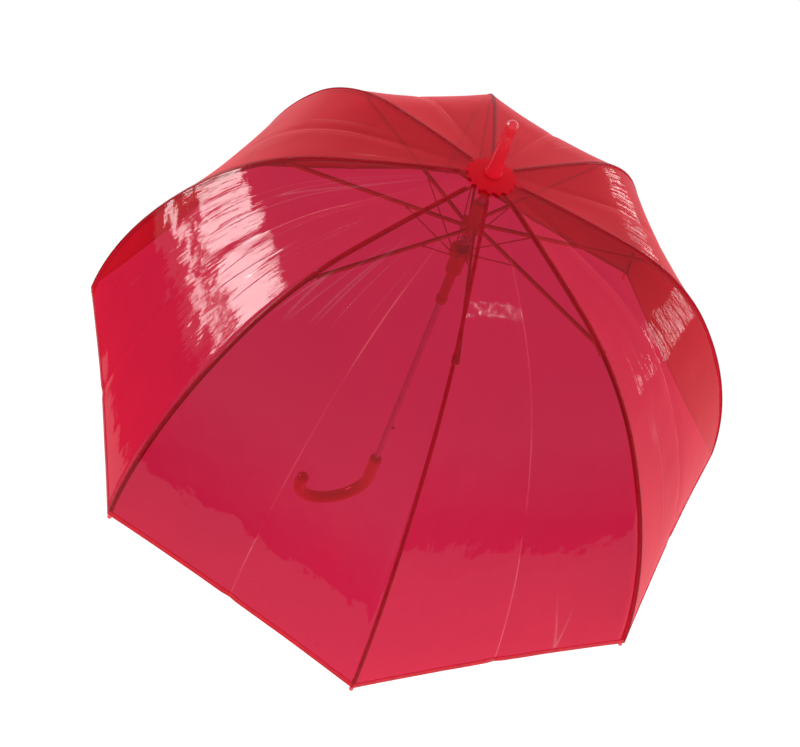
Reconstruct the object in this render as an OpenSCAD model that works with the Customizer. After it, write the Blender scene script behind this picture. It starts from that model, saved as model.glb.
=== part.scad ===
// Dome umbrella with a see-through red film canopy, standing open.
// +Z runs up the shaft to the ferrule. The origin is on the shaft's axis, in the middle of the
// handle's straight grip, and the crook lies in the XZ plane, opening to +X.
// Each rib works in its own vertical plane: local +X points outwards and local +Y is sideways.

/* [Ribs] */
// Height of the ribs' pivots above the middle of the grip
crown_h = 590; // [570:5:640]
// Distance of the ribs' pivots from the shaft's axis
pivot_r = 9; // [9:0.5:10]
// Slope of a rib below the horizontal where it leaves the crown, in degrees
crown_slope = 10.8; // [9:0.2:13]
// Bend radius of a rib's top stretch
top_r = 1680; // [1500:20:1900]
// Turn of a rib's top stretch, in degrees
top_turn = 5.5; // [4.5:0.1:6.5]
// Bend radius of a rib's shoulder
shoulder_r = 276; // [260:2:300]
// Turn of the shoulder inside the knee, where the stretcher meets the rib, in degrees
shoulder_turn_in = 9.1; // [8:0.1:10]
// Turn of the shoulder outside the knee, in degrees
shoulder_turn_out = 21.3; // [19:0.1:23]
// Bend radius of a rib's skirt
skirt_r = 552; // [500:4:600]
// Turn of a rib's skirt, in degrees
skirt_turn = 28.1; // [26:0.1:30]
// Diameter of a rib's rod
rib_d = 2.8; // [2.4:0.1:3]

/* [Canopy] */
// Thickness of a panel's solid, thicker than the film it stands for
film_t = 0.4; // [0.3:0.1:1]
// Height of the panels' inner face above the ribs' centre lines
film_gap = 4.2; // [4:0.1:5]
// How far a panel's middle dips below the straight line between its ribs
film_dip = 9; // [4:1:12]
// Radius of the reinforcement patch on the crown
patch_r = 25; // [22:0.5:28]

/* [Shaft, ferrule and handle] */
// Diameter of the shaft
shaft_d = 8; // [7.6:0.1:8.4]
// Wall of the shaft
shaft_wall = 0.8; // [0.6:0.1:1]
// Length of the ferrule
ferrule_l = 67; // [60:1:80]
// Diameter of the ferrule's foot
ferrule_d = 18.4; // [17:0.2:20]
// Diameter of the ferrule's tip
ferrule_tip_d = 12; // [10:0.5:13]
// Diameter of the handle
handle_d = 19; // [18:0.5:22]
// Length of the handle's straight grip
grip_l = 52; // [48:1:60]
// Radius of the crook's centre line
crook_r = 54; // [45:1:58]
// How far the crook turns, in degrees
crook_turn = 196; // [180:1:210]

/* [Runner] */
// Depth of the stretchers' pivots below the ribs' pivots
hub_drop = 69; // [66:0.5:72]
// Distance of the stretchers' pivots from the shaft's axis
root_r = 9; // [9:0.1:9.4]
// Distance from a stretcher's pivot to the link's pin on it
link_at = 65; // [60:1:70]
// Depth of the links' lower pivots below the stretchers' pivots
slider_drop = 41; // [40:0.5:44]
// Depth of the spring's cup below the links' lower pivots
cup_depth = 32; // [28:1:36]
// Length of the slider from its links' pivots to its lower rim
slider_l = 86; // [80:1:90]
// Depth of the catch below the ribs' pivots
catch_drop = 479; // [476:1:482]

/* [Hidden] */
ribs = 8;
shared_nodes = ["shaft_tube", "ferrule", "handle", "crown_notch", "crown_wire", "top_patch",
    "runner_hub", "hub_wire", "runner_slider", "slider_wire", "opening_spring", "catch_button"];
rib_nodes = ["rib_", "rib_end_", "rib_tip_", "stretcher_", "link_", "canopy_panel_"];

$fn = 32;

// A rib's centre line in its own plane, as [distance from the axis, height], arc after arc
function arc_point(p, slope, r, turn) =
    [p[0] + r * (sin(slope + turn) - sin(slope)), p[1] + r * (cos(slope + turn) - cos(slope))];
pivot = [pivot_r, crown_h];
shoulder = arc_point(pivot, crown_slope, top_r, top_turn);
shoulder_slope = crown_slope + top_turn;
knee = arc_point(shoulder, shoulder_slope, shoulder_r, shoulder_turn_in);
knee_slope = shoulder_slope + shoulder_turn_in;
skirt = arc_point(knee, knee_slope, shoulder_r, shoulder_turn_out);
skirt_slope = knee_slope + shoulder_turn_out;
hem = arc_point(skirt, skirt_slope, skirt_r, skirt_turn);
hem_slope = skirt_slope + skirt_turn;

// The mechanism's pivots, and the lengths and slopes that join them
root = [root_r, crown_h - hub_drop];
stretcher_l = norm(knee - root);
stretcher_slope = atan2(knee[1] - root[1], knee[0] - root[0]);
link_top = root + link_at * [cos(stretcher_slope), sin(stretcher_slope)];
link_foot = [9.2, root[1] - slider_drop];
link_l = norm(link_top - link_foot);
link_slope = atan2(link_top[1] - link_foot[1], link_top[0] - link_foot[0]);

// Lanes beside a rib's plane, so that ribs, stretchers and links pass one another as they fold
half_rib = [0.1, 2];
stretcher_lane = [2.3, 5.3];
link_lane = [5.6, 7];

// Sections and clearances
rod_r = rib_d / 2;
tongue_h = 2.4;
tongue_l = 5;
rod_stop = 3.5;
crown_tongue = 16;
crown_eye = [0.9, 2];
knee_eye_r = 2.2;
knee_pin_r = 1;
pin_gap = 0.05;
link_pin_r = 0.6;
ring_wire_r = 0.8;
ring_bend_r = 0.65;
ring_gap = 0.1;
joint_lap = 0.4;
joint_step = 0.1;
slide_gap = 0.08;
stretcher_h = 3.4;
stretcher_under = 0.6;
sheet = 0.7;
link_wire_r = 0.8;
link_eye_r = 1.7;
tip_r = 2.2;
tip_ball_r = 2.7;
tip_sleeve = 7;
tip_reach = 7;
shaft_r = shaft_d / 2;
bore_r = shaft_r + slide_gap;
hub_r = 12;
hub_half_h = 5.5;
flange_r = 13.2;
flange_half_h = 3.5;
cup_r = 9.4;
cup_bore_r = 7.7;
sleeve_r = 5.9;
rim_r = 6.8;
rim_h = 7;
spring_r = 6.2;
spring_wire_r = 0.7;
spring_turns = 9;
catch_r = 2.2;
catch_reach = 9.6;
catch_slot = [5.2, 9];
notch_r = 12.5;
shaft_top = crown_h + 50;
shaft_foot = -22;
patch_t = 0.6;
patch_top = crown_h + 7.1;
ferrule_foot = crown_h + 7.8;

// How far the slider's catch hole lies below the links' pivots: over the catch once it is folded
function folded_fall(l, reach) = sqrt(l * l - reach * reach);
knee_reach = norm(knee - pivot);
folded_knee_r = 18;
folded_root_drop = folded_fall(knee_reach, folded_knee_r - pivot_r)
    + folded_fall(stretcher_l, folded_knee_r - root_r);
folded_tilt = (folded_knee_r - root_r) / stretcher_l;
folded_link_drop = folded_fall(link_l, root_r + link_at * folded_tilt - link_foot[0])
    - link_at * sqrt(1 - folded_tilt * folded_tilt);
catch_hole_drop = catch_drop - folded_root_drop - folded_link_drop;

function rib_angle(i) = (i - 0.5) * 360 / ribs;

module at_rib(i) { rotate([0, 0, rib_angle(i)]) children(); }

// A round bar across a rib's plane at point p, between the sideways distances y0 and y1
module cross_bar(p, r, y0, y1) {
    translate([p[0], y0, p[1]]) rotate([-90, 0, 0]) cylinder(r = r, h = y1 - y0);
}

// A flat bar in a rib's plane from point p along a slope, between two sideways distances
module tongue(p, slope, l, h, y0, y1) {
    translate([p[0], 0, p[1]]) rotate([0, slope, 0]) translate([0, y0, -h / 2]) cube([l, y1 - y0, h]);
}

// A rod bent to an arc that starts at p with a slope, drawn between two of its turns
module arc_rod(p, slope, r, from, to, rod) {
    translate([p[0] - r * sin(slope), 0, p[1] - r * cos(slope)]) rotate([90, 0, 0])
        rotate([0, 0, 90 - slope - to]) rotate_extrude(angle = to - from, $fn = 64)
            translate([r, 0]) circle(r = rod);
}

// A wire ring with one straight stretch for each rib, at distance r from the axis
module pivot_wire(r, z, y0, y1) {
    step = 360 / ribs;
    a = [r, y1];
    b = [r * cos(step) - y0 * sin(step), r * sin(step) + y0 * cos(step)];
    for (i = [1:ribs]) at_rib(i) {
        cross_bar([r, z], ring_wire_r, y0 - ring_wire_r, y1 + ring_wire_r);
        translate([a[0], a[1], z]) rotate([0, 90, atan2(b[1] - a[1], b[0] - a[0])])
            cylinder(r = ring_bend_r, h = norm(b - a));
    }
}

module slots(inner, z0, z1, y0, y1) {
    for (i = [1:ribs]) at_rib(i) translate([inner, y0, z0]) cube([40, y1 - y0, z1 - z0]);
}

// Shaft: a steel tube with a slot for the catch
module shaft_tube() {
    color("silver") difference() {
        translate([0, 0, shaft_foot]) cylinder(r = shaft_r, h = shaft_top - shaft_foot);
        translate([0, 0, shaft_foot - 1]) cylinder(r = shaft_r - shaft_wall, h = shaft_top - shaft_foot + 2);
        translate([-shaft_r, 0, crown_h - catch_drop]) rotate([0, 90, 0])
            cylinder(r = catch_r + ring_gap, h = 4, center = true);
    }
}

// Ferrule: a tapered plastic cap with a round nose over the shaft's end
module ferrule() {
    nose = ferrule_tip_d / 2;
    foot_h = 3;
    end_h = 10;
    color("red") difference() {
        union() {
            translate([0, 0, ferrule_foot]) cylinder(d = ferrule_d, h = foot_h);
            translate([0, 0, ferrule_foot + foot_h])
                cylinder(r1 = ferrule_d / 2 - 0.6, r2 = nose, h = ferrule_l - nose - foot_h - end_h);
            translate([0, 0, ferrule_foot + ferrule_l - nose - end_h]) cylinder(r = nose, h = end_h);
            translate([0, 0, ferrule_foot + ferrule_l - nose]) sphere(r = nose);
        }
        translate([0, 0, ferrule_foot - 1]) cylinder(r = bore_r, h = shaft_top - ferrule_foot + 1.5);
    }
}

// Handle: a moulded crook whose straight grip takes the shaft's foot
module handle() {
    half = grip_l / 2;
    neck = 5;
    end = crook_turn + 180;
    color("crimson") difference() {
        union() {
            translate([0, 0, -half]) cylinder(d = handle_d, h = grip_l);
            translate([0, 0, half]) cylinder(r1 = handle_d / 2, r2 = shaft_r + 2.6, h = neck);
            translate([crook_r, 0, -half]) rotate([90, 0, 0]) rotate([0, 0, 180 - joint_lap])
                rotate_extrude(angle = crook_turn + joint_lap, $fn = 64) translate([crook_r, 0])
                    circle(d = handle_d - joint_step);
            translate([crook_r * (1 + cos(end)), 0, crook_r * sin(end) - half])
                sphere(d = handle_d - 2 * joint_step);
        }
        translate([0, 0, shaft_foot]) cylinder(r = bore_r, h = half + neck - shaft_foot + 1);
    }
}

// Crown notch: a moulded disc with one slot for each rib and a groove for their wire
module crown_notch() {
    bottom = crown_h - 7;
    top = crown_h + 4.4;
    color("darkred") difference() {
        union() {
            translate([0, 0, bottom]) cylinder(r = notch_r, h = top - bottom);
            translate([0, 0, bottom - 14]) cylinder(r = 7.6, h = 15);
        }
        translate([0, 0, bottom - 15]) cylinder(r = bore_r, h = 40);
        slots(5.8, bottom - 1, crown_h + 2.6, -1.2, 1.2);
        translate([0, 0, crown_h]) rotate_extrude() translate([pivot_r, 0]) circle(r = ring_wire_r + pin_gap);
    }
}

// Crown wire: the ring that the eight ribs hang on
module crown_wire() {
    color("silver") translate([0, 0, crown_h]) rotate_extrude() translate([pivot_r, 0]) circle(r = ring_wire_r);
}

// Top patch: a scalloped cone of thick film over the canopy's centre
module top_patch() {
    lobes = 16;
    fall = 8.8;
    color("red") intersection() {
        difference() {
            cone_top(patch_top + patch_t, fall);
            cone_top(patch_top, fall);
        }
        linear_extrude(height = crown_h + 20) difference() {
            union() {
                circle(r = patch_r);
                for (k = [0:lobes - 1]) rotate(k * 360 / lobes) translate([patch_r, 0]) circle(r = 2.6);
            }
            circle(r = shaft_r + 0.4);
        }
    }
}

module cone_top(z, fall) {
    wide = 40;
    translate([0, 0, z - wide * tan(fall)]) cylinder(r1 = wide, r2 = 0.01, h = wide * tan(fall));
}

// Runner hub: the upper collar, which the stretchers turn on
module runner_hub() {
    stem = 34;
    color("darkred") difference() {
        union() {
            translate([0, 0, root[1] - hub_half_h]) cylinder(r = hub_r, h = 2 * hub_half_h);
            translate([0, 0, root[1]]) cylinder(r = 7.2, h = stem);
        }
        translate([0, 0, root[1] - hub_half_h - 1]) cylinder(r = bore_r, h = stem + hub_half_h + 2);
        slots(6.2, root[1] - 3, root[1] + stem + 1, stretcher_lane[0] - 0.2, stretcher_lane[1] + 0.2);
        slots(7.6, root[1] - hub_half_h - 1, root[1] + hub_half_h + 1, stretcher_lane[1], link_lane[1] + 0.4);
    }
}

// Hub wire: a buried ring with a bent-up pin for each stretcher's inner eye
module hub_wire() {
    pin_y = stretcher_lane[0] - 1.1;
    ring_z = root[1] - 4.2;
    color("silver") {
        translate([0, 0, ring_z]) rotate_extrude() translate([root_r - 0.5, 0]) circle(r = ring_bend_r);
        for (i = [1:ribs]) at_rib(i) {
            cross_bar(root, ring_wire_r, pin_y - ring_wire_r, stretcher_lane[1] + ring_gap);
            translate([root_r, pin_y, ring_z]) cylinder(r = ring_bend_r, h = root[1] - ring_z);
        }
    }
}

// Runner slider: link flange, spring cup, sleeve and lower rim in one moulding
module runner_slider() {
    z = link_foot[1];
    cup_floor = z - cup_depth;
    rim = z - slider_l;
    hole_z = z - catch_hole_drop;
    color("darkred") difference() {
        union() {
            translate([0, 0, z - flange_half_h]) cylinder(r = flange_r, h = 2 * flange_half_h);
            translate([0, 0, cup_floor]) cylinder(r = cup_r, h = cup_depth);
            translate([0, 0, cup_floor - 6]) cylinder(r1 = sleeve_r, r2 = cup_r, h = 6);
            translate([0, 0, rim]) cylinder(r = sleeve_r, h = slider_l - cup_depth);
            translate([0, 0, rim]) cylinder(r = rim_r, h = rim_h);
        }
        translate([0, 0, rim - 1]) cylinder(r = bore_r, h = slider_l + 1);
        translate([0, 0, cup_floor]) cylinder(r = cup_bore_r, h = cup_depth + flange_half_h + 1);
        translate([-15, -catch_slot[0] / 2, hole_z - catch_slot[1] / 2]) cube([15, catch_slot[0], catch_slot[1]]);
        slots(7.3, z - 2.6, z + 5, link_lane[0] - 0.3, link_lane[1] + 0.3);
    }
}

// Slider wire: it threads the links' lower eyes
module slider_wire() {
    color("silver") pivot_wire(link_foot[0], link_foot[1], link_lane[0] - 0.4, link_lane[1] + 0.3);
}

// Opening spring: it pushes the hub and the slider apart
module opening_spring() {
    foot = link_foot[1] - cup_depth + spring_wire_r + ring_gap;
    head = root[1] - hub_half_h - spring_wire_r - ring_gap;
    sides = 6;
    per_turn = 14;
    rings = spring_turns * per_turn;
    function ring(k) = [for (s = [0:sides - 1])
        let (a = k * 360 / per_turn, b = s * 360 / sides, d = spring_r + spring_wire_r * cos(b))
            [d * cos(a), d * sin(a), foot + (head - foot) * k / rings + spring_wire_r * sin(b)]];
    points = [for (k = [0:rings]) each ring(k)];
    walls = [for (k = [0:rings - 1]) for (s = [0:sides - 1]) let (t = (s + 1) % sides)
        each [[k * sides + s, (k + 1) * sides + s, (k + 1) * sides + t], [k * sides + s, (k + 1) * sides + t, k * sides + t]]];
    ends = [[for (s = [0:sides - 1]) s], [for (s = [sides - 1:-1:0]) rings * sides + s]];
    color("silver") polyhedron(points = points, faces = concat(walls, ends));
}

// Catch button: it holds the folded slider until it is pressed into the shaft
module catch_button() {
    z = crown_h - catch_drop;
    color("crimson") {
        translate([-catch_reach + catch_r, 0, z]) sphere(r = catch_r);
        translate([-catch_reach + catch_r, 0, z]) rotate([0, 90, 0]) cylinder(r = catch_r, h = catch_reach - catch_r - 3);
    }
}

// Rib: the inner length, from its eye on the crown wire to its half of the knee
module rib(i) {
    stop = rod_stop * 180 / PI / shoulder_r;
    start = (crown_tongue - 2) * 180 / PI / top_r;
    color("darkred") at_rib(i) difference() {
        union() {
            cross_bar(pivot, crown_eye[1], -crown_eye[0], crown_eye[0]);
            tongue(pivot, crown_slope, crown_tongue, tongue_h, -crown_eye[0], crown_eye[0]);
            arc_rod(pivot, crown_slope, top_r, start, top_turn, rod_r);
            arc_rod(shoulder, shoulder_slope, shoulder_r, -joint_lap, shoulder_turn_in - stop, rod_r - joint_step);
            tongue(knee, knee_slope + 180, rod_stop + tongue_l, tongue_h, -half_rib[1], -half_rib[0]);
            cross_bar(knee, knee_eye_r, -half_rib[1], -half_rib[0]);
            cross_bar(knee, knee_pin_r, -half_rib[1], stretcher_lane[1] + 0.3);
        }
        cross_bar(pivot, ring_wire_r + ring_gap + pin_gap, -2, 2);
    }
}

// Rib end: the outer length, from its half of the knee to the hem
module rib_end(i) {
    start = rod_stop * 180 / PI / shoulder_r;
    color("darkred") at_rib(i) difference() {
        union() {
            cross_bar(knee, knee_eye_r, half_rib[0], half_rib[1]);
            tongue(knee, knee_slope, rod_stop + tongue_l, tongue_h, half_rib[0], half_rib[1]);
            arc_rod(knee, knee_slope, shoulder_r, start, shoulder_turn_out, rod_r);
            arc_rod(skirt, skirt_slope, skirt_r, -joint_lap, skirt_turn, rod_r - joint_step);
        }
        cross_bar(knee, knee_pin_r + pin_gap, -1, 3);
    }
}

// Rib tip: the cap that holds the hem's corner, with a ball on its end
module rib_tip(i) {
    color("red") at_rib(i) translate([hem[0], 0, hem[1]]) rotate([0, hem_slope - 90, 0]) {
        difference() {
            translate([0, 0, -tip_reach]) cylinder(r = tip_r, h = tip_reach + tip_sleeve);
            translate([0, 0, -0.5]) cylinder(r = rod_r + pin_gap, h = tip_sleeve + 2);
        }
        translate([0, 0, -tip_reach]) sphere(r = tip_ball_r);
    }
}

// Stretcher: a folded steel channel with an eye at each end and a pin for its link
module stretcher(i) {
    y0 = stretcher_lane[0];
    y1 = stretcher_lane[1];
    color("darkred") at_rib(i) translate([root[0], 0, root[1]]) rotate([0, -stretcher_slope, 0]) difference() {
        union() {
            cross_bar([0, 0], knee_eye_r, y0, y1);
            cross_bar([stretcher_l, 0], knee_eye_r, y0, y1);
            difference() {
                translate([0, y0, -stretcher_under]) cube([stretcher_l, y1 - y0, stretcher_h]);
                translate([4, y0 + sheet, sheet - stretcher_under]) cube([stretcher_l - 8, y1 - y0 - 2 * sheet, 5]);
            }
            cross_bar([link_at, 0], link_pin_r, y1 - sheet / 2, link_lane[1] + 0.3);
        }
        cross_bar([0, 0], ring_wire_r + ring_gap, y0 - 1, y1 + 1);
        cross_bar([stretcher_l, 0], knee_pin_r + pin_gap, y0 - 1, y1 + 1);
    }
}

// Link: a wire from the slider to the stretcher, flattened to an eye at each end
module link(i) {
    middle = (link_lane[0] + link_lane[1]) / 2;
    color("darkred") at_rib(i) translate([link_foot[0], 0, link_foot[1]]) rotate([0, -link_slope, 0]) difference() {
        union() {
            cross_bar([0, 0], link_eye_r, link_lane[0], link_lane[1]);
            cross_bar([link_l, 0], link_eye_r, link_lane[0], link_lane[1]);
            translate([0, middle, 0]) rotate([0, 90, 0]) cylinder(r = link_wire_r, h = link_l);
        }
        cross_bar([0, 0], ring_wire_r + ring_gap, 5, 8);
        cross_bar([link_l, 0], link_pin_r + pin_gap, 5, 8);
    }
}

// A point of a panel at station u along the ribs (0 to 2) and v across (-1 to 1), lifted off the ribs
canopy_start = 8;
function rib_point(u, lift) =
    let (in_top = u < 1,
         first = in_top ? (u < 0.75 ? [pivot, crown_slope, top_r, canopy_start * 180 / PI / top_r
                + (top_turn - canopy_start * 180 / PI / top_r) * u / 0.75]
            : [shoulder, shoulder_slope, shoulder_r, shoulder_turn_in * (u - 0.75) * 4])
            : (u < 1.3 ? [knee, knee_slope, shoulder_r, shoulder_turn_out * (u - 1) / 0.3]
            : [skirt, skirt_slope, skirt_r, skirt_turn * (u - 1.3) / 0.7]),
         slope = first[1] + first[3],
         p = arc_point(first[0], first[1], first[2], first[3]))
    p + lift * [sin(slope), cos(slope)];
function panel_point(i, u, v, lift) =
    let (p = rib_point(u, lift - film_dip * u / 2 * (1 - v * v) * (2.4 - u)),
         a = 180 / ribs, seam = 0.3,
         across = (p[0] * sin(a) - seam) * v,
         out = p[0] * cos(a),
         mid = rib_angle(i) + a)
    [out * cos(mid) - across * sin(mid), out * sin(mid) + across * cos(mid), p[1]];

// Canopy panel: one of the eight welded film panels, between rib i and the next
module canopy_panel(i) {
    stations = [0, 0.25, 0.5, 0.75, 1, 1.15, 1.3, 1.475, 1.65, 1.825, 2];
    across = [-1, -0.5, 0, 0.5, 1];
    n = len(across);
    m = len(stations);
    sheet_points = function(lift) [for (u = stations) for (v = across) panel_point(i, u, v, lift)];
    points = concat(sheet_points(film_gap + film_t), sheet_points(film_gap));
    under = m * n;
    cells = [for (j = [0:m - 2]) for (k = [0:n - 2]) j * n + k];
    top = [for (c = cells) each [[c, c + n, c + n + 1], [c, c + n + 1, c + 1]]];
    bottom = [for (f = top) [f[2] + under, f[1] + under, f[0] + under]];
    rim = concat([for (k = [0:n - 1]) k], [for (j = [1:m - 1]) j * n + n - 1],
        [for (k = [n - 2:-1:0]) (m - 1) * n + k], [for (j = [m - 2:-1:1]) j * n]);
    edge = [for (k = [0:len(rim) - 1]) let (a = rim[k], b = rim[(k + 1) % len(rim)])
        each [[a, b, b + under], [a, b + under, a + under]]];
    color([0.85, 0.15, 0.25, 0.5]) polyhedron(points = points, faces = concat(top, bottom, edge));
}

shaft_tube();
ferrule();
handle();
crown_notch();
crown_wire();
top_patch();
runner_hub();
hub_wire();
runner_slider();
slider_wire();
opening_spring();
catch_button();
for (i = [1:ribs]) {
    rib(i);
    rib_end(i);
    rib_tip(i);
    stretcher(i);
    link(i);
    canopy_panel(i);
}
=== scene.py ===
"""Dome umbrella: see-through red film on eight folding ribs, a sliding runner and a crook handle."""

import math

import bpy
from mathutils import Matrix, Vector, noise


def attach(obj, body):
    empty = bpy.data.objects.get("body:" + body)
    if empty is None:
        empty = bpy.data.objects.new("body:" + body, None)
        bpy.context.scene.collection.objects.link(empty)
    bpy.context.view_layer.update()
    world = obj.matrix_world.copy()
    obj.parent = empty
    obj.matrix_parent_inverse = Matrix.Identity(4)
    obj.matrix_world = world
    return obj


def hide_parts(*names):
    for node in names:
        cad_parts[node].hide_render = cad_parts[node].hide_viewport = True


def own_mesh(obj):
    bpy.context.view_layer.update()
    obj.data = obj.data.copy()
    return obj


bl_info = {
    "name": "Dome Umbrella",
    "version": (1, 0, 0),
    "blender": (4, 5, 0),
    "location": "View3D > Sidebar > Umbrella",
    "description": "Builds a dome umbrella's film, seams, hem and finishes around its packed frame",
    "category": "Object",
}

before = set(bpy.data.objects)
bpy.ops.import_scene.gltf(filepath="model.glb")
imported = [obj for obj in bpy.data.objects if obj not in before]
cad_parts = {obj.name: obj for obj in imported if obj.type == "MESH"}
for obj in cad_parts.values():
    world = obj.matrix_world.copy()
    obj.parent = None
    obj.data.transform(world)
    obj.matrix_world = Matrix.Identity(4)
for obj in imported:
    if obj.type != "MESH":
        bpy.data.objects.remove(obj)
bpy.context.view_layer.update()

RIBS = 8
STEP = math.tau / RIBS
MM = 0.001
SEAM_START = 16 * MM  # the welds begin this far below the film's inner edge
SEAM_LIFT = 0.15 * MM  # gap that keeps a weld off the film under it
SEAM_THICKNESS = 0.35 * MM
HEM_THICKNESS = 0.4 * MM
HEM_HALF_STEPS = 16
FOLD_HALF_WIDTH = 6 * MM  # the storage fold's spread to each side
WELD_PITCH = 2600.0  # ribs of the weld, in radians per metre
FLOOR_HALF, FLOOR_HEIGHT = 9.0, -1.3
CARD_RADIUS, CARD_STEPS = 2.0, 60
HORIZON, CEILING = (0.05, (0.90, 0.91, 0.95, 1.0)), (0.80, (0.60, 0.61, 0.68, 1.0))
CAMERA_AZIMUTH, CAMERA_REACH, CAMERA_RISE = 58.34, 0.7913, 0.6301
CAMERA_AHEAD, CAMERA_UP = (-0.3199, -0.5388, -0.7793), (-0.0547, -0.8106, 0.5830)
CAMERA_LENS, CAMERA_SENSOR = 43.0, 36.0


def length(name, default, description):
    """A length in metres that a user may change."""
    return bpy.props.FloatProperty(
        name=name, default=default, min=0.0, precision=5, unit="LENGTH", description=description
    )


def turn(name, degrees, description):
    """An angle that a user may change."""
    return bpy.props.FloatProperty(
        name=name, default=math.radians(degrees), unit="ROTATION", description=description
    )


def share(name, default, description):
    """A plain number from 0 to 1."""
    return bpy.props.FloatProperty(name=name, default=default, min=0.0, max=1.0, description=description)


def colour(name, default, description):
    """A linear colour."""
    return bpy.props.FloatVectorProperty(
        name=name, default=default, size=3, min=0.0, max=1.0, subtype="COLOR", description=description
    )


class DomeShape(bpy.types.PropertyGroup):
    """The ribs' centre line: three arcs that follow one another from the crown to the hem."""

    crown_height: length("Crown height", 590 * MM, "Height of the ribs' pivots")
    pivot_radius: length("Pivot radius", 9 * MM, "Distance of the ribs' pivots from the shaft's axis")
    crown_slope: turn("Crown slope", 10.8, "Slope of a rib where it leaves the crown")
    top_radius: length("Top bend", 1680 * MM, "Bend radius of the top stretch")
    top_turn: turn("Top turn", 5.5, "Turn of the top stretch")
    shoulder_radius: length("Shoulder bend", 276 * MM, "Bend radius of the shoulder")
    shoulder_in: turn("Shoulder turn inside the knee", 9.1, "Turn of the shoulder above the knee")
    shoulder_out: turn("Shoulder turn outside the knee", 21.3, "Turn of the shoulder below the knee")
    skirt_radius: length("Skirt bend", 552 * MM, "Bend radius of the skirt")
    skirt_turn: turn("Skirt turn", 28.1, "Turn of the skirt")


class FilmShape(bpy.types.PropertyGroup):
    """The canopy's film, its welds and its hem."""

    lift: length("Lift", 4.4 * MM, "Height of the film above the ribs' centre lines")
    dip: length("Dip", 9 * MM, "How far the film sags between two ribs")
    start: length("Start", 8 * MM, "Distance along a rib from its pivot to the film's inner edge")
    ripple: length("Ripple", 0.9 * MM, "Depth of the film's slow ripples")
    crease: length("Crease", 1.1 * MM, "Depth of the storage fold along each panel's middle")
    seam_width: length("Seam width", 4 * MM, "Width of the weld along a rib")
    hem_width: length("Hem width", 7 * MM, "Width of the welded hem")
    fold_inner: share("Inner fold", 0.09, "Share of the film's width left above the knee once folded")
    fold_outer: share("Outer fold", 0.15, "Share of the film's width left below the knee once folded")


class Finishes(bpy.types.PropertyGroup):
    """Colours of the film, the plastic and the metal."""

    film_tint: colour("Film tint", (0.405, 0.009, 0.043), "What one layer of film lets through")
    # film_body also colours the film's painted glow
    film_body: colour("Film body", (0.90, 0.016, 0.034), "The film's own colour where it clouds")
    weld: colour("Weld", (0.62, 0.006, 0.018), "Two welded layers of film")
    plastic: colour("Plastic", (0.86, 0.022, 0.040), "Handle, ferrule and tips")
    moulding: colour("Moulding", (0.90, 0.020, 0.035), "Notch and runner")
    paint: colour("Paint", (0.84, 0.018, 0.030), "Painted stretchers, links and upper ribs")
    # A darker copy of the rib paint for the ribs below the knees: painted shade on the lower ribs
    shaded_rib_paint: colour("Dark paint", (0.34, 0.010, 0.020), "Painted ribs below the knees")
    steel: colour("Steel", (0.86, 0.82, 0.82), "Shaft, spring and wires")


def settings(context):
    """The three groups of sizes and colours, kept on the scene."""
    scene = context.scene
    return scene.dome_shape, scene.film_shape, scene.finishes


# ---- Shape of the dome ----


def arc_point(start, slope, radius, angle):
    """The end of an arc that leaves start at a slope below the horizontal and turns down by angle."""
    return (
        start[0] + radius * (math.sin(slope + angle) - math.sin(slope)),
        start[1] + radius * (math.cos(slope + angle) - math.cos(slope)),
    )


class Rib:
    """A rib's centre line, read by distance from its pivot."""

    def __init__(self, dome):
        self.arcs = []
        start, slope, run = (dome.pivot_radius, dome.crown_height), dome.crown_slope, 0.0
        for radius, angle in (
            (dome.top_radius, dome.top_turn),
            (dome.shoulder_radius, dome.shoulder_in),
            (dome.shoulder_radius, dome.shoulder_out),
            (dome.skirt_radius, dome.skirt_turn),
        ):
            self.arcs.append((run, start, slope, radius))
            start = arc_point(start, slope, radius, angle)
            slope, run = slope + angle, run + radius * angle
            if len(self.arcs) == 2:
                self.knee, self.knee_run = start, run
        self.length = run

    def at(self, run, lift=0.0):
        """(distance from the axis, height, slope) at a run along the rib, raised by lift."""
        arc_run, start, slope, radius = [arc for arc in self.arcs if run >= arc[0] - 1e-9][-1]
        angle = (run - arc_run) / radius
        r, z = arc_point(start, slope, radius, angle)
        slope += angle
        return r + lift * math.sin(slope), z + lift * math.cos(slope), slope


def rib_angle(i):
    """Azimuth of rib i, counted from 1."""
    return (i - 0.5) * STEP


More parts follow.
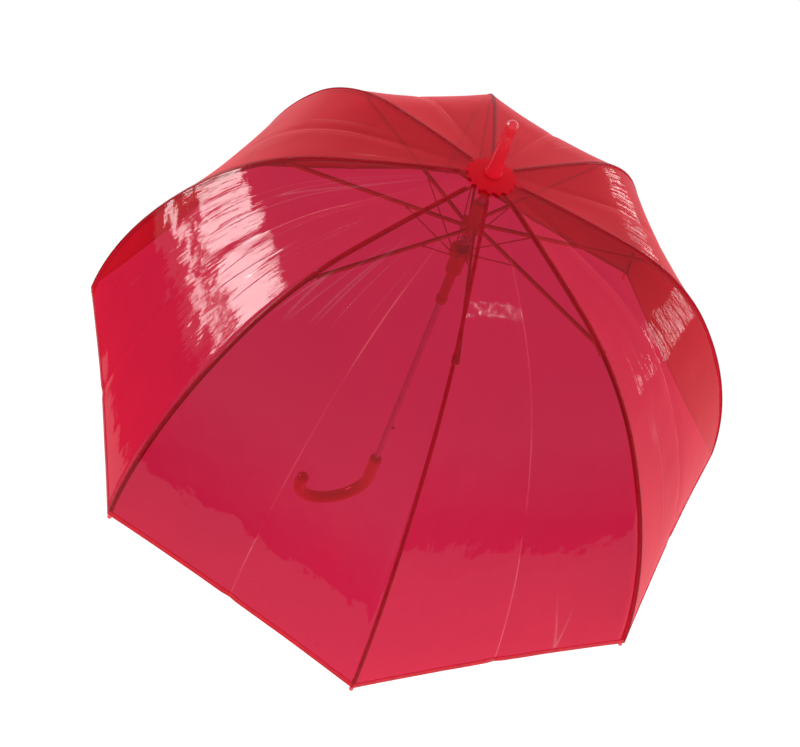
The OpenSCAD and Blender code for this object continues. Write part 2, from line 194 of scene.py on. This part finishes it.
class Dome:
    """The film's surface, as a point for each rib, run along it and share of the way to a panel's middle."""

    def __init__(self, dome, film):
        self.rib, self.film = Rib(dome), film

    def point(self, i, run, v, lift=0.0):
        """v runs from -1 to 1 across the gore that rib i carries; lift raises the point off the film."""
        film, half = self.film, STEP / 2
        side = 1.0 if v >= 0 else -1.0
        toward = min(abs(v), 1.0)
        u = run / self.rib.length
        sag = 1.0 - (1.0 - toward) ** 2
        drop = film.dip * u * (2.4 - 2.0 * u) * sag
        r, z, slope = self.rib.at(run, film.lift + lift - drop)
        out, across = r * math.cos(half), r * math.sin(half) * (1.0 - toward)
        mid = rib_angle(i) + side * half
        x = out * math.cos(mid) + side * across * math.sin(mid)
        y = out * math.sin(mid) - side * across * math.cos(mid)
        spot = Vector((x, y, z))
        free = math.sin(math.pi * toward / 2) * min(1.0, u * 3.0)
        wave = noise.noise(spot * 11.0) * film.ripple
        wave += noise.noise(spot * 31.0 + Vector((7, 3, 1))) * film.ripple * 0.35
        aside = (1.0 - toward) * r * math.sin(half) / FOLD_HALF_WIDTH
        fold = -film.crease * math.exp(-(aside**2)) * min(1.0, u * 4.0)
        push = wave * free + fold
        normal = Vector((math.sin(slope) * math.cos(mid), math.sin(slope) * math.sin(mid), math.cos(slope)))
        return spot + normal * push

    def normal(self, i, run, v):
        """Unit normal of the film, facing out."""
        step, swing = 1.0 * MM, 0.01
        low, high = max(run - step, 0.0), min(run + step, self.rib.length)
        across = min(max(v, -0.99 if v < 0 else 0.011), -0.011 if v < 0 else 0.99)
        a = self.point(i, high, v) - self.point(i, low, v)
        b = self.point(i, run, across + swing) - self.point(i, run, across - swing)
        return a.cross(b).normalized()


def flat_mesh(name, points, faces, normals=None, slots=None):
    """A new object from points and faces, smooth, with given normals where there are any."""
    mesh = bpy.data.meshes.new(name)
    mesh.from_pydata([tuple(p) for p in points], [], faces)
    mesh.validate()
    for polygon in mesh.polygons:
        polygon.use_smooth = True
    if slots:
        for polygon, slot in zip(mesh.polygons, slots):
            polygon.material_index = slot
    if normals:
        mesh.normals_split_custom_set_from_vertices([tuple(n) for n in normals])
    piece = bpy.data.objects.new(name, mesh)
    bpy.context.scene.collection.objects.link(piece)
    return piece


def grid_faces(rows, columns):
    """Quads over a grid whose points are listed row after row."""
    return [
        (j * columns + k, (j + 1) * columns + k, (j + 1) * columns + k + 1, j * columns + k + 1)
        for j in range(rows - 1)
        for k in range(columns - 1)
    ]


def runs_between(first, last, count):
    """Evenly spaced runs along a rib."""
    return [first + (last - first) * k / (count - 1) for k in range(count)]


def gore(name, dome, i, runs, half_columns=12):
    """One gore of film: the sheet that rib i carries, from one panel's middle to the next."""
    spread = [k / half_columns for k in range(-half_columns, half_columns + 1)]
    points, normals = [], []
    for run in runs:
        for v in spread:
            points.append(dome.point(i, run, v))
            normals.append(dome.normal(i, run, v))
    return flat_mesh(name, points, grid_faces(len(runs), len(spread)), normals)


def ribbon(name, paths, thickness):
    """A closed strip: each row gives its section on the film, as points with their normals."""
    rows, columns = len(paths), len(paths[0])
    points = [p + n * thickness for row in paths for p, n in row] + [p for row in paths for p, n in row]
    under = rows * columns
    faces = grid_faces(rows, columns)
    faces += [tuple(reversed([k + under for k in face])) for face in grid_faces(rows, columns)]
    rim = (
        list(range(columns))
        + [j * columns + columns - 1 for j in range(1, rows)]
        + [(rows - 1) * columns + k for k in range(columns - 2, -1, -1)]
        + [j * columns for j in range(rows - 2, 0, -1)]
    )
    faces += [(a, b, b + under, a + under) for a, b in zip(rim, rim[1:] + rim[:1])]
    piece = flat_mesh(name, points, faces)
    bend = piece.modifiers.new("Rounded edge", "BEVEL")
    bend.width, bend.segments, bend.limit_method = thickness * 0.35, 2, "ANGLE"
    return piece


# ---- Shader maths ----


class Socket:
    """A shader socket that takes part in Python sums."""

    def __init__(self, nodes, socket):
        self.nodes, self.socket = nodes, socket

    def math(self, operation, *others, clamp=False):
        inputs = [self] + list(others)
        node = self.nodes.node(
            "ShaderNodeMath", {"operation": operation, "use_clamp": clamp}, dict(enumerate(inputs))
        )
        return node[0]

    def __add__(self, other):
        return self.math("ADD", other)

    def __sub__(self, other):
        return self.math("SUBTRACT", other)

    def __mul__(self, other):
        return self.math("MULTIPLY", other)

    def __truediv__(self, other):
        return self.math("DIVIDE", other)

    def __pow__(self, other):
        return self.math("POWER", other)

    def __rsub__(self, other):
        return (self * -1.0) + other

    __radd__ = __add__
    __rmul__ = __mul__

    def clipped(self):
        """The value held between 0 and 1."""
        return self.math("ADD", 0.0, clamp=True)


class Node:
    """A shader node whose outputs are read by name or number."""

    def __init__(self, nodes, node):
        self.nodes, self.node = nodes, node

    def __getitem__(self, key):
        return Socket(self.nodes, self.node.outputs[key])


class Nodes:
    """A material's node tree under construction."""

    def __init__(self, name):
        self.material = bpy.data.materials.new(name)
        self.material.use_nodes = True
        self.tree = self.material.node_tree
        self.tree.nodes.clear()
        self.place = self.node("ShaderNodeTexCoord")["Object"]

    def node(self, kind, settings=None, inputs=None):
        """A node of that kind: its settings first, then its sockets' values or links."""
        made = self.tree.nodes.new(kind)
        for key, value in (settings or {}).items():
            if key == "ramp":
                ramp = made.color_ramp
                while len(ramp.elements) < len(value):
                    ramp.elements.new(0.5)
                for element, (position, tone) in zip(ramp.elements, value):
                    element.position, element.color = position, (*tone, 1.0)
            else:
                setattr(made, key, value)
        for key, value in (inputs or {}).items():
            socket = made.inputs[key]
            if isinstance(value, Socket):
                self.tree.links.new(value.socket, socket)
            elif socket.type == "RGBA" and len(value) == 3:
                socket.default_value = (*value, 1.0)
            else:
                socket.default_value = value
        return Node(self, made)

    def vector(self, operation, *values):
        """A vector maths node."""
        return self.node("ShaderNodeVectorMath", {"operation": operation}, dict(enumerate(values)))

    def noise(self, scale, detail=3.0, roughness=0.5, vector=None):
        """Soft noise from 0 to 1."""
        return self.node(
            "ShaderNodeTexNoise",
            {},
            {"Vector": vector or self.place, "Scale": scale, "Detail": detail, "Roughness": roughness},
        )["Fac"]

    def stretched(self, scale):
        """The piece's own coordinates, scaled along each axis."""
        return self.vector("MULTIPLY", self.place, scale)["Vector"]

    def radiating(self, around, along):
        """Coordinates for marks that run from the crown to the hem: fast round the shaft, slow along it."""
        round_shaft = self.vector("NORMALIZE", self.stretched((1.0, 1.0, 0.0)))["Vector"]
        scaled_round = self.vector("MULTIPLY", round_shaft, (around, around, 0.0))["Vector"]
        return self.vector("ADD", scaled_round, self.stretched((0.0, 0.0, along)))["Vector"]

    def fold_mark(self, width):
        """1 on the storage fold down each panel's middle, 0 beside it."""
        parts = self.node("ShaderNodeSeparateXYZ", {}, {0: self.place})
        around = parts[1].math("ARCTAN2", parts[0]) * (RIBS / math.tau)
        radius = self.vector("LENGTH", self.stretched((1.0, 1.0, 0.0)))["Value"]
        aside = around.math("PINGPONG", 0.5) * STEP * radius
        return (1.0 - aside * (1.0 / width)).clipped() * ((radius - 0.06) * 9.0).clipped()

    def blend(self, factor, first, second):
        """A colour that runs from first to second."""
        mixed = self.node("ShaderNodeMix", {"data_type": "RGBA"}, {"Factor": factor, 6: first, 7: second})
        return Socket(self, mixed.node.outputs[2])

    def bump(self, height, strength, distance):
        """A normal from a height."""
        return self.node(
            "ShaderNodeBump", {}, {"Height": height, "Strength": strength, "Distance": distance}
        )["Normal"]

    def join(self, factor, first, second):
        """One shader mixed over another."""
        return self.node("ShaderNodeMixShader", {}, {0: factor, 1: first, 2: second})[0]

    def facing(self):
        """0 where the surface is seen head on, 1 at its edge."""
        return self.node("ShaderNodeLayerWeight", {}, {"Blend": 0.5})["Facing"]

    def finish(self, shader):
        """Wires the shader to the output and hands back the material."""
        output = self.tree.nodes.new("ShaderNodeOutputMaterial")
        self.tree.links.new(shader.socket, output.inputs["Surface"])
        return self.material


def scaled(tone, factor):
    """A colour made brighter or darker."""
    return tuple(min(1.0, c * factor) for c in tone)


def film_material(name, tint, body, cloud_and_glow, gloss=1.0):
    """Clear coloured film: it passes tinted light, mirrors the lamps and clouds a little; the cloudy part
    also glows in the film's own colour, painted light that grows toward grazing edges and on the folds.
    """
    n = Nodes(name)
    wide = n.noise(9.0, 2.0)
    streaks = n.noise(1.0, 4.0, 0.62, n.radiating(13.0, 6.0))
    folds = n.noise(1.0, 1.0, 0.5, n.radiating(9.0, 2.2))
    some = ((n.noise(5.0, 1.0) - 0.52) * 9.0).clipped()
    lines = (1.0 - (folds * 2.0 - 1.0).math("ABSOLUTE")) ** 110.0 * some
    fold = n.fold_mark(1.1 * MM) * ((n.noise(12.0, 2.0) - 0.36) * 3.5).clipped()
    scuffs = n.noise(420.0, 2.0, 0.7)
    crumple = n.noise(21.0, 2.5, 0.5)
    height = wide * 0.6 + streaks * 0.22 + crumple * 0.26 + lines * 0.06 + scuffs * 0.003
    normal = n.bump(height, 1.0, 0.005)
    clear = n.node("ShaderNodeBsdfTransparent", {}, {"Color": tint})[0]
    mirror = n.node(
        "ShaderNodeBsdfAnisotropic", {}, {"Color": (1.0, 0.97, 0.97), "Roughness": 0.05, "Normal": normal}
    )[0]
    edge = n.facing()
    shine = (edge**5.0 * 0.15 + 0.019 * gloss + lines * 0.09 + fold * 0.10).clipped()
    haze_with_painted_glow = n.node(
        "ShaderNodeBsdfPrincipled",
        {},
        {
            "Base Color": n.blend(wide, scaled(body, 0.8), scaled(body, 1.25)),
            "Roughness": streaks * 0.2 + 0.3,
            "Normal": normal,
            "Specular IOR Level": 0.0,
            # Painted glow: the cloudy film emits its own colour, standing in for light it scatters
            "Emission Color": body,
            "Emission Strength": 0.36,
        },
    )[0]
    # Share of the cloudy layer with its painted glow, rising toward grazing edges and on the folds
    cloud_and_glow_share = (streaks * 0.06 + wide * 0.05 + cloud_and_glow + edge**1.8 * 0.58 + fold * 0.25).clipped()
    return n.finish(n.join(shine, n.join(cloud_and_glow_share, clear, haze_with_painted_glow), mirror))


def plastic_material(name, tone, roughness, clouding, sheen=0.6, painted_glow=0.0):
    """Moulded plastic with faint flow marks and handling scuffs; its last argument is a painted glow, an
    emission in its own tone that stands in for light reaching it.
    """
    n = Nodes(name)
    flow = n.noise(70.0, 4.0, 0.6)
    marks = n.noise(900.0, 2.0, 0.6)
    base = n.blend(flow, scaled(tone, 1.0 - clouding), scaled(tone, 1.0 + clouding))
    return n.finish(
        n.node(
            "ShaderNodeBsdfPrincipled",
            {},
            {
                "Base Color": base,
                "Roughness": flow * 0.10 + marks * 0.08 + roughness,
                "Normal": n.bump(flow * 0.7 + marks * 0.15, 0.12, 0.0006),
                "Coat Weight": sheen,
                "Coat Roughness": 0.06,
                # Painted glow: the plastic emits its own tone in place of light reaching it
                "Emission Color": tone,
                "Emission Strength": painted_glow,
            },
        )[0]
    )


def metal_material(name, tone, roughness, along):
    """Plated or drawn steel with fine marks along its length."""
    n = Nodes(name)
    drawn = n.noise(500.0, 3.0, 0.6, n.stretched(along))
    tarnish = n.noise(40.0, 4.0)
    return n.finish(
        n.node(
            "ShaderNodeBsdfPrincipled",
            {},
            {
                "Base Color": n.blend(tarnish, scaled(tone, 0.75), tone),
                "Metallic": 1.0,
                "Roughness": drawn * 0.14 + tarnish * 0.08 + roughness,
                "Normal": n.bump(drawn, 0.10, 0.0004),
            },
        )[0]
    )


def paint_material(name, tone):
    """Gloss paint over thin steel, with orange peel and tiny chips."""
    n = Nodes(name)
    peel = n.noise(700.0, 2.0)
    chips = ((n.noise(320.0, 2.0, 0.8) - 0.74) * 14.0).clipped()
    return n.finish(
        n.node(
            "ShaderNodeBsdfPrincipled",
            {},
            {
                "Base Color": n.blend(chips, tone, (0.30, 0.10, 0.11)),
                "Roughness": peel * 0.10 + chips * 0.2 + 0.22,
                "Normal": n.bump(peel, 0.08, 0.0004),
                "Coat Weight": 0.5,
                "Coat Roughness": 0.08,
            },
        )[0]
    )


def weld_material(name, tint, body, solid_share):
    """Two layers of film pressed together with a fine ribbed weld."""
    n = Nodes(name)
    parts = n.node("ShaderNodeSeparateXYZ", {}, {0: n.place})
    ribs = (parts[0] * WELD_PITCH + parts[1] * WELD_PITCH + parts[2] * WELD_PITCH).math("SINE") * 0.5 + 0.5
    patchy = n.noise(120.0, 3.0)
    normal = n.bump(ribs * 0.6 + patchy * 0.4, 0.35, 0.0003)
    clear = n.node("ShaderNodeBsdfTransparent", {}, {"Color": tint})[0]
    solid = n.node(
        "ShaderNodeBsdfPrincipled",
        {},
        {
            "Base Color": n.blend(patchy, scaled(body, 0.75), scaled(body, 1.2)),
            "Roughness": patchy * 0.15 + 0.25,
            "Normal": normal,
            "Specular IOR Level": 0.15,
        },
    )[0]
    return n.finish(n.join((patchy * 0.12 + solid_share).clipped(), clear, solid))


def give(piece, material):
    """Puts one material on a piece, in place of any it has."""
    if not piece.material_slots:
        piece.data.materials.append(material)
    for slot in piece.material_slots:
        slot.material = material


# ---- Operators ----


class UMBRELLA_OT_film(bpy.types.Operator):
    """Stretches the film over the ribs, one gore to a rib, parted at the knee"""

    bl_idname = "umbrella.film"
    bl_label = "Film canopy"
    bl_options = {"REGISTER", "UNDO"}

    def execute(self, context):
        dome_shape, film, finishes = settings(context)
        dome = Dome(dome_shape, film)
        film_clear = film_material("red film", finishes.film_tint, finishes.film_body, 0.02)
        rib = dome.rib
        for i in range(1, RIBS + 1):
            for part, first, last, count, body, keep in (
                ("inner", film.start, rib.knee_run, 22, "rib", film.fold_inner),
                ("outer", rib.knee_run, rib.length, 34, "rib_end", film.fold_outer),
            ):
                piece = gore(f"film_{part}_{i}", dome, i, runs_between(first, last, count))
                give(piece, film_clear)
                width = 2 * rib.at(last)[0] * math.sin(STEP / 2)
                round(last - first, 4)
                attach(piece, f"{body}_{i}")
                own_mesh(piece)
                if part == "inner":
                    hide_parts(f"canopy_panel_{i}")
        return {"FINISHED"}


class UMBRELLA_OT_seams(bpy.types.Operator):
    """Lays the welded seam over each rib"""

    bl_idname = "umbrella.seams"
    bl_label = "Welded seams"
    bl_options = {"REGISTER", "UNDO"}

    def execute(self, context):
        dome_shape, film, finishes = settings(context)
        dome = Dome(dome_shape, film)
        weld = weld_material("welded seam", scaled(finishes.film_tint, 0.9), finishes.weld, 0.48)
        rib = dome.rib
        for i in range(1, RIBS + 1):
            for part, first, last, count, body in (
                ("inner", film.start + SEAM_START, rib.knee_run, 24, f"rib_{i}"),
                ("outer", rib.knee_run, rib.length, 40, f"rib_end_{i}"),
            ):
                rows = []
                for run in runs_between(first, last, count):
                    half = min(1.0, film.seam_width / 2 / (rib.at(run)[0] * math.sin(STEP / 2)))
                    rows.append(
                        [
                            (dome.point(i, run, v * half, SEAM_LIFT), dome.normal(i, run, v * half))
                            for v in (-1, -0.5, 0, 0.5, 1)
                        ]
                    )
                piece = ribbon(f"seam_{part}_{i}", rows, SEAM_THICKNESS)
                give(piece, weld)
                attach(piece, body)
        return {"FINISHED"}


class UMBRELLA_OT_hem(bpy.types.Operator):
    """Turns the hem up in a welded band between the rib tips"""

    bl_idname = "umbrella.hem"
    bl_label = "Hem"
    bl_options = {"REGISTER", "UNDO"}

    def execute(self, context):
        dome_shape, film, finishes = settings(context)
        dome = Dome(dome_shape, film)
        weld = weld_material("welded hem", scaled(finishes.film_tint, 0.75), scaled(finishes.weld, 1.4), 0.8)
        rib = dome.rib
        for i in range(1, RIBS + 1):
            rows = []
            for k in range(-HEM_HALF_STEPS, HEM_HALF_STEPS + 1):
                v = k / HEM_HALF_STEPS
                rows.append(
                    [
                        (dome.point(i, run, v, SEAM_LIFT), dome.normal(i, run, v))
                        for run in runs_between(rib.length - film.hem_width, rib.length, 4)
                    ]
                )
            piece = ribbon(f"hem_{i}", rows, HEM_THICKNESS)
            give(piece, weld)
            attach(piece, f"rib_end_{i}")
            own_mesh(piece)
        return {"FINISHED"}


class UMBRELLA_OT_hardware(bpy.types.Operator):
    """Finishes the shaft, runner, ribs, tips, ferrule and handle"""

    bl_idname = "umbrella.hardware"
    bl_label = "Hardware"
    bl_options = {"REGISTER", "UNDO"}

    def execute(self, context):
        finishes = settings(context)[2]
        steel = metal_material("plated steel", finishes.steel, 0.24, (1.0, 1.0, 0.05))
        wire = metal_material("spring wire", scaled(finishes.steel, 0.8), 0.25, (1.0, 1.0, 1.0))
        paint = paint_material("red paint", finishes.paint)
        shaded_rib_paint = paint_material("shaded red rib paint", finishes.shaded_rib_paint)
        # The last number of the moulding, the gloss plastic and the cap is their painted glow
        moulding = plastic_material("moulded fittings", finishes.moulding, 0.25, 0.2, 0.3, 0.12)
        gloss = plastic_material("gloss plastic", finishes.plastic, 0.12, 0.12, 0.8, 0.14)
        thick_body = scaled(finishes.weld, 1.1)
        # The top patch's thick film clouds more, so it carries more of the film's painted glow
        thick = film_material("thick film", scaled(finishes.film_tint, 1.6), thick_body, 0.34, 0.4)
        cap = plastic_material("clear cap", thick_body, 0.14, 0.25, 0.35, 0.12)
        finish = {
            "shaft_tube": steel,
            "crown_wire": steel,
            "hub_wire": steel,
            "slider_wire": steel,
            "opening_spring": wire,
            "crown_notch": moulding,
            "runner_hub": moulding,
            "runner_slider": moulding,
            "catch_button": moulding,
            "handle": gloss,
            "ferrule": cap,
            "top_patch": thick,
        }
        for i in range(1, RIBS + 1):
            for kind in ("rib", "stretcher", "link"):
                finish[f"{kind}_{i}"] = paint
            # The ribs below the knees take the darker copy of the same paint: painted shade
            finish[f"rib_end_{i}"] = shaded_rib_paint
            finish[f"rib_tip_{i}"] = gloss
        for name, material in finish.items():
            give(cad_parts[name], material)
        return {"FINISHED"}


LAMPS = (
    # name, what it does, what it is aimed at, azimuth, elevation, distance, width, height, radiance
    ("window softbox", "mirrored", (0.27, 0.0, 0.47), -45.0, 10.5, 2.2, 0.55, 0.95, 24.0),
    ("window foot", "mirrored", (0.27, 0.0, 0.47), -40.0, -6.5, 2.2, 0.4, 0.12, 18.0),
    ("far strip", "mirrored", (-0.2, 0.0, 0.53), -146.0, -3.0, 2.2, 0.10, 0.6, 13.0),
    ("side strip", "mirrored", (-0.2, 0.13, 0.51), 178.0, 8.0, 2.2, 0.10, 0.7, 13.0),
    ("top strip", "mirrored", (0.05, 0.15, 0.55), -178.0, 57.0, 2.0, 0.03, 0.05, 75.0),
    ("soft top", "lighting", (0.0, 0.0, 0.4), 95.0, 70.0, 2.6, 1.0, 1.0, 4.0),
    ("floor wash", "lighting", (-0.35, 0.25, -1.3), 0.0, 90.0, 0.9, 0.8, 0.8, 8.0),
)


CARDS = (
    # name, first and last azimuth, foot at each end, azimuths where it rises, height, fade at top
    ("front card", -12.0, 160.0, -0.17, 0.27, (72.0, 92.0), 0.95, 1.0),
    ("left card", -80.0, -12.0, -1.25, -1.25, (0.0, 1.0), 1.30, 0.0),
)


def dark_card(name, first, last, low_foot, high_foot, rise, height, fade_top):
    """A curved black card that shows only in reflections, clear toward its top where fade_top is 1."""
    points = []
    for k in range(CARD_STEPS + 1):
        azimuth = first + (last - first) * k / CARD_STEPS
        raised = min(1.0, max(0.0, (azimuth - rise[0]) / (rise[1] - rise[0])))
        foot = low_foot + (high_foot - low_foot) * raised
        a = math.radians(azimuth)
        for z in (foot, foot + height):
            points.append((CARD_RADIUS * math.cos(a), CARD_RADIUS * math.sin(a), z))
    faces = [(2 * k, 2 * k + 2, 2 * k + 3, 2 * k + 1) for k in range(CARD_STEPS)]
    card = flat_mesh(name, points, faces)
    fade = card.data.attributes.new("fade", "FLOAT", "POINT")
    for k in range(len(points)):
        fade.data[k].value = fade_top * (k % 2)
    n = Nodes(name)
    black = n.node("ShaderNodeEmission", {}, {"Color": (0.0, 0.0, 0.0)})[0]
    clear = n.node("ShaderNodeBsdfTransparent")[0]
    level = n.node("ShaderNodeAttribute", {"attribute_name": "fade"})["Fac"]
    give(card, n.finish(n.join(level, black, clear)))
    card.visible_camera = card.visible_diffuse = card.visible_shadow = False


def studio_world():
    """A pale horizon under a dimmer ceiling."""
    world = bpy.data.worlds.new("studio")
    world.use_nodes = True
    tree = world.node_tree
    place = tree.nodes.new("ShaderNodeTexCoord")
    split = tree.nodes.new("ShaderNodeSeparateXYZ")
    ramp = tree.nodes.new("ShaderNodeValToRGB").color_ramp
    for element, (position, tone) in zip(ramp.elements, (HORIZON, CEILING)):
        element.position, element.color = position, tone
    tree.links.new(place.outputs["Generated"], split.inputs[0])
    tree.links.new(split.outputs[2], tree.nodes["Color Ramp"].inputs[0])
    tree.links.new(tree.nodes["Color Ramp"].outputs[0], tree.nodes["Background"].inputs["Color"])
    return world


class UMBRELLA_OT_stage(bpy.types.Operator):
    """Sets the floor, the lamps and the camera"""

    bl_idname = "umbrella.stage"
    bl_label = "Stage"
    bl_options = {"REGISTER", "UNDO"}

    def execute(self, context):
        scene = context.scene
        dome_shape = settings(context)[0]
        floor_mesh = bpy.data.meshes.new("floor")
        turns = ((-1, -1), (1, -1), (1, 1), (-1, 1))
        corners = [(x * FLOOR_HALF, y * FLOOR_HALF, FLOOR_HEIGHT) for x, y in turns]
        floor_mesh.from_pydata(corners, [], [(0, 1, 2, 3)])
        floor = bpy.data.objects.new("floor", floor_mesh)
        scene.collection.objects.link(floor)
        n = Nodes("pale floor")
        pale = n.node(
            "ShaderNodeBsdfPrincipled",
            {},
            {
                "Base Color": (0.3, 0.3, 0.3),
                "Roughness": 0.9,
                "Emission Color": (1.0, 1.0, 1.0),
                "Emission Strength": 0.80,
            },
        )[0]
        give(floor, n.finish(pale))
        for card in CARDS:
            dark_card(*card)
        scene.world = studio_world()
        for name, role, target, azimuth, elevation, distance, width, height, radiance in LAMPS:
            lamp = bpy.data.lights.new(name, "AREA")
            lamp.shape, lamp.size, lamp.size_y = "RECTANGLE", width, height
            lamp.energy = radiance * width * height * math.pi
            holder = bpy.data.objects.new(name, lamp)
            holder.visible_diffuse, holder.visible_glossy = role == "lighting", role == "mirrored"
            a, e = math.radians(azimuth), math.radians(elevation)
            back = Vector((math.cos(a) * math.cos(e), math.sin(a) * math.cos(e), math.sin(e)))
            holder.location = Vector(target) + back * distance
            holder.rotation_mode = "QUATERNION"
            holder.rotation_quaternion = back.to_track_quat("Z", "Y")
            scene.collection.objects.link(holder)
        camera = bpy.data.cameras.new("camera")
        camera.lens, camera.sensor_width = CAMERA_LENS, CAMERA_SENSOR
        camera.clip_start, camera.clip_end = 0.05, 50.0
        eye = bpy.data.objects.new("camera", camera)
        a = math.radians(CAMERA_AZIMUTH)
        height = dome_shape.crown_height + CAMERA_RISE
        place = Vector((CAMERA_REACH * math.cos(a), CAMERA_REACH * math.sin(a), height))
        ahead = Vector(CAMERA_AHEAD).normalized()
        up = Vector(CAMERA_UP)
        right = ahead.cross(up).normalized()
        up = right.cross(ahead)
        eye.matrix_world = Matrix.Translation(place) @ Matrix((right, up, -ahead)).transposed().to_4x4()
        scene.collection.objects.link(eye)
        scene.camera = eye
        scene.view_settings.view_transform = "Standard"
        scene.cycles.transparent_max_bounces = 32
        return {"FINISHED"}


class UMBRELLA_PT_panel(bpy.types.Panel):
    """Lists the build's steps in the sidebar"""

    bl_idname = "UMBRELLA_PT_panel"
    bl_label = "Dome Umbrella"
    bl_space_type = "VIEW_3D"
    bl_region_type = "UI"
    bl_category = "Umbrella"

    def draw(self, context):
        for group in settings(context):
            box = self.layout.box()
            for key in group.bl_rna.properties.keys():
                if key not in ("rna_type", "name"):
                    box.prop(group, key)
        for step in STEPS:
            self.layout.operator(step.bl_idname)


GROUPS = (DomeShape, FilmShape, Finishes)
STEPS = (UMBRELLA_OT_film, UMBRELLA_OT_seams, UMBRELLA_OT_hem, UMBRELLA_OT_hardware, UMBRELLA_OT_stage)
CLASSES = GROUPS + STEPS + (UMBRELLA_PT_panel,)


def register():
    for made in CLASSES:
        bpy.utils.register_class(made)
    bpy.types.Scene.dome_shape = bpy.props.PointerProperty(type=DomeShape)
    bpy.types.Scene.film_shape = bpy.props.PointerProperty(type=FilmShape)
    bpy.types.Scene.finishes = bpy.props.PointerProperty(type=Finishes)


def unregister():
    del bpy.types.Scene.dome_shape
    del bpy.types.Scene.film_shape
    del bpy.types.Scene.finishes
    for made in reversed(CLASSES):
        bpy.utils.unregister_class(made)


def main():
    """Builds every piece in order."""
    register()
    bpy.ops.umbrella.film()
    bpy.ops.umbrella.seams()
    bpy.ops.umbrella.hem()
    bpy.ops.umbrella.hardware()
    bpy.ops.umbrella.stage()


if __name__ == "__main__":
    main()
